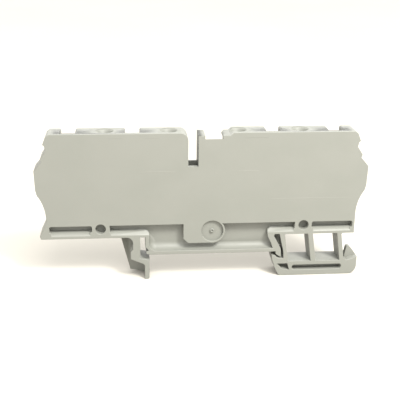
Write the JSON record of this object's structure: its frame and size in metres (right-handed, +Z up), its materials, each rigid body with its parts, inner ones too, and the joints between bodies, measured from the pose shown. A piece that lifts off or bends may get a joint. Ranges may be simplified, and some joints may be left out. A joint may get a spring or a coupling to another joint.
{
  "type": "spring clamp terminal block",
  "caption": "Grey feed-through terminal block with spring clamp wire entries, a bent current bar and feet that snap onto a 35 mm rail.",
  "frame": {"origin": "middle of the rail's top face, half way through the block's thickness", "axes": "+X along the block towards the sprung foot, +Y along the rail towards the open face, +Z up away from the rail"},
  "size_m": [0.085, 0.0072, 0.0395],
  "materials": {
    "grey_polyamide": "fine moulded grain, matt",
    "tinned_copper": "dull tin plating",
    "spring_steel": "rolled stainless strip"
  },
  "bodies": {
    "block": {"housing": "grey_polyamide", "current_bar": "tinned_copper"},
    "spring_1": {"cage_spring_1": "spring_steel"},
    "spring_2": {"cage_spring_2": "spring_steel"},
    "spring_3": {"cage_spring_3": "spring_steel"},
    "spring_4": {"cage_spring_4": "spring_steel"}
  },
  "joints": [
    {"name": "spring_1_flex", "type": "hinge", "parent": "block", "child": "spring_1", "pos_m": [-0.02973, 0.00015, 0.0213], "axis": [0, -1, 0], "range_deg": [0, 20], "stiffness_Nm_per_rad": 0.3, "springref_deg": -8.59, "deforming": ["cage_spring_1"]},
    {"name": "spring_2_flex", "type": "hinge", "parent": "block", "child": "spring_2", "pos_m": [-0.01373, 0.00015, 0.0213], "axis": [0, -1, 0], "range_deg": [0, 20], "stiffness_Nm_per_rad": 0.3, "springref_deg": -8.59, "deforming": ["cage_spring_2"]},
    {"name": "spring_3_flex", "type": "hinge", "parent": "block", "child": "spring_3", "pos_m": [0.01073, 0.00015, 0.0213], "axis": [0, 1, 0], "range_deg": [0, 20], "stiffness_Nm_per_rad": 0.3, "springref_deg": -8.59, "deforming": ["cage_spring_3"]},
    {"name": "spring_4_flex", "type": "hinge", "parent": "block", "child": "spring_4", "pos_m": [0.02673, 0.00015, 0.0213], "axis": [0, 1, 0], "range_deg": [0, 20], "stiffness_Nm_per_rad": 0.3, "springref_deg": -8.59, "deforming": ["cage_spring_4"]}
  ]
}
